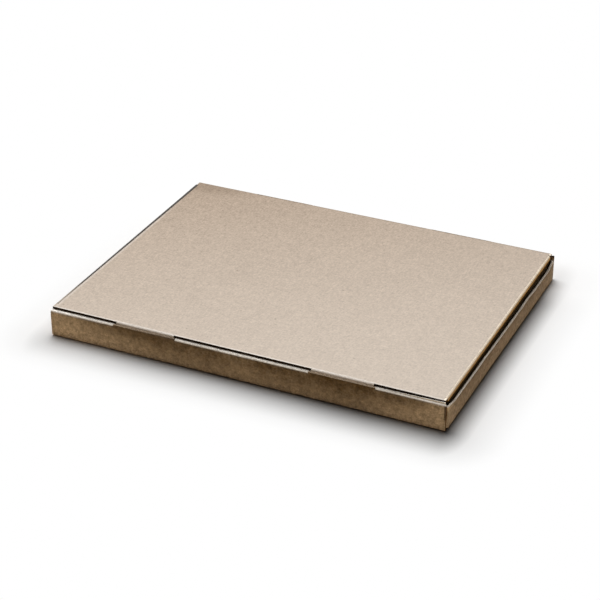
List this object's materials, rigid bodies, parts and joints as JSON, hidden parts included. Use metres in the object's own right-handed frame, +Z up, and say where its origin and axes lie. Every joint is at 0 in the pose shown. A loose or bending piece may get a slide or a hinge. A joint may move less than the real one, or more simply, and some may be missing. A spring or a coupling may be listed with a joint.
{
  "type": "flat shipping box",
  "caption": "Flat folded cardboard shipping box with rolled double side walls, a hinged lid, lock tabs in rim slots and a tuck front.",
  "frame": {"origin": "on the surface it stands on, under the middle of the closed box", "axes": "+X along the length from the lid's crease to the tuck front, +Y across the width, +Z up"},
  "size_m": [0.32, 0.246, 0.0238],
  "materials": {
    "board": "matte uncoated kraft liner"
  },
  "bodies": {
    "tray": {"tray": "board"},
    "lid": {"lid": "board"}
  },
  "joints": [
    {"name": "lid_hinge", "type": "hinge", "parent": "tray", "child": "lid", "pos_m": [-0.15941, 0, 0.02321], "axis": [0, -1, 0], "range_deg": [0, 180]}
  ]
}
